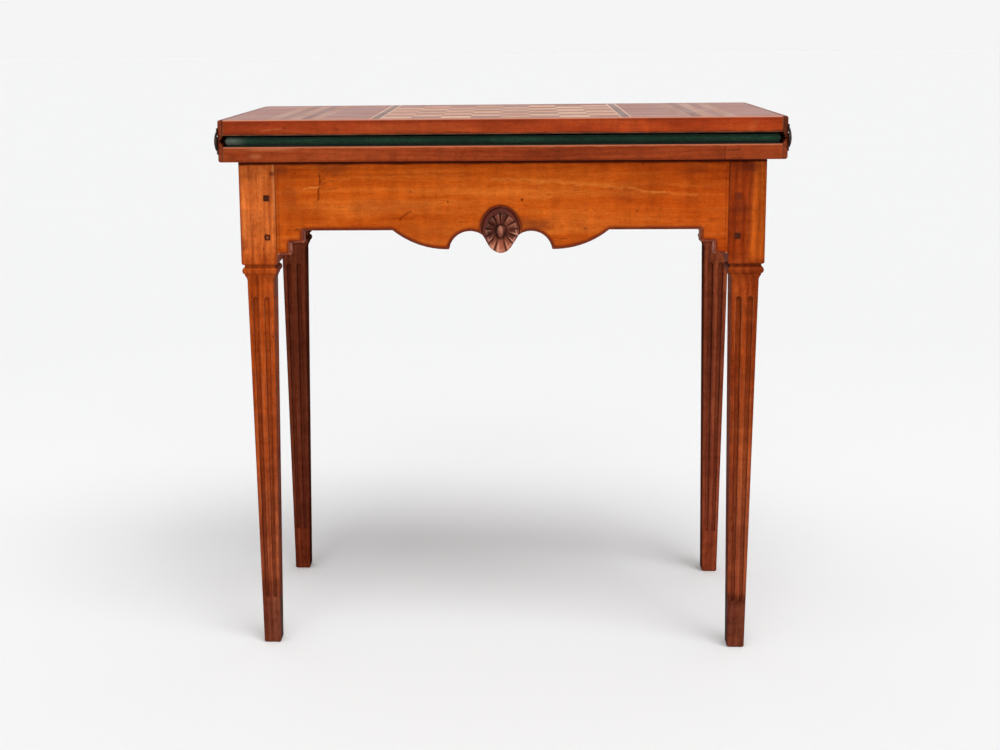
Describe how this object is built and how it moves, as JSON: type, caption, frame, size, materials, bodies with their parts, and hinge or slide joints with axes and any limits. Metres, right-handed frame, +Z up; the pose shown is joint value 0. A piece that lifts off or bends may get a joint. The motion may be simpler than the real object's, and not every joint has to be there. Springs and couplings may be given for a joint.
{
  "type": "fold-over chess table",
  "caption": "Fold-over swivel-top game table with an inlaid chessboard, green baize inside, a shaped apron with a carved rosette and tapered fluted legs.",
  "frame": {"origin": "on the floor, under the middle of the table's bounding box", "axes": "+X along the width, to the right seen from the fold side; +Y away from the fold side; +Z up"},
  "size_m": [0.7824, 0.4022, 0.767],
  "materials": {
    "fruitwood_frame": "worn satin polish",
    "fruitwood_top": "worn satin polish",
    "light_inlay": "satin polish",
    "dark_inlay": "satin polish",
    "carved_wood": "dark satin polish",
    "peg_wood": "dark, worn",
    "inner_wood": "plain, unpolished",
    "green_baize": "short felted nap",
    "iron": "blackened"
  },
  "bodies": {
    "frame": {"leg_front_left": "fruitwood_frame", "leg_front_right": "fruitwood_frame", "leg_rear_left": "fruitwood_frame", "leg_rear_right": "fruitwood_frame", "apron_front": "fruitwood_frame", "apron_rear": "fruitwood_frame", "apron_left": "fruitwood_frame", "apron_right": "fruitwood_frame", "tenon_pegs_front": "peg_wood", "tenon_pegs_rear": "peg_wood", "tenon_pegs_left": "peg_wood", "tenon_pegs_right": "peg_wood", "carved_rosette": "carved_wood", "pivot_rail": "inner_wood", "bearer_rail": "inner_wood", "well_bottom_board": "inner_wood", "well_cleats": "inner_wood", "bearing_washer": "iron", "pivot_washer": "iron"},
    "swivel_top": {"lower_leaf_board": "fruitwood_top", "lower_rim_left": "fruitwood_top", "lower_rim_right": "fruitwood_top", "lower_rim_rear": "fruitwood_top", "lower_baize": "green_baize", "baize_fold_roll": "green_baize", "hinge_lower_left": "iron", "hinge_lower_right": "iron", "hinge_pin_left": "iron", "hinge_pin_right": "iron", "hinge_lower_screws": "iron", "pivot_pin": "iron", "pivot_screws": "iron", "pivot_nut": "iron", "stop_peg": "inner_wood"},
    "upper_leaf": {"upper_leaf_board": "fruitwood_top", "upper_rim_left": "fruitwood_top", "upper_rim_right": "fruitwood_top", "upper_rim_rear": "fruitwood_top", "upper_baize": "green_baize", "board_squares_light": "light_inlay", "board_squares_dark": "dark_inlay", "board_strings_light": "light_inlay", "board_bands_dark": "dark_inlay", "side_stripes_light": "light_inlay", "side_stripes_dark": "dark_inlay", "hinge_upper_left": "iron", "hinge_upper_right": "iron", "hinge_upper_screws": "iron"}
  },
  "joints": [
    {"name": "top_swivel", "type": "hinge", "parent": "frame", "child": "swivel_top", "pos_m": [-0.09875, -0.09515, 0.709], "axis": [0, 0, 1], "range_deg": [0, 90]},
    {"name": "leaf_fold", "type": "hinge", "parent": "swivel_top", "child": "upper_leaf", "pos_m": [0, -0.1941, 0.738], "axis": [1, 0, 0], "range_deg": [0, 180], "deforming": ["baize_fold_roll"]}
  ]
}
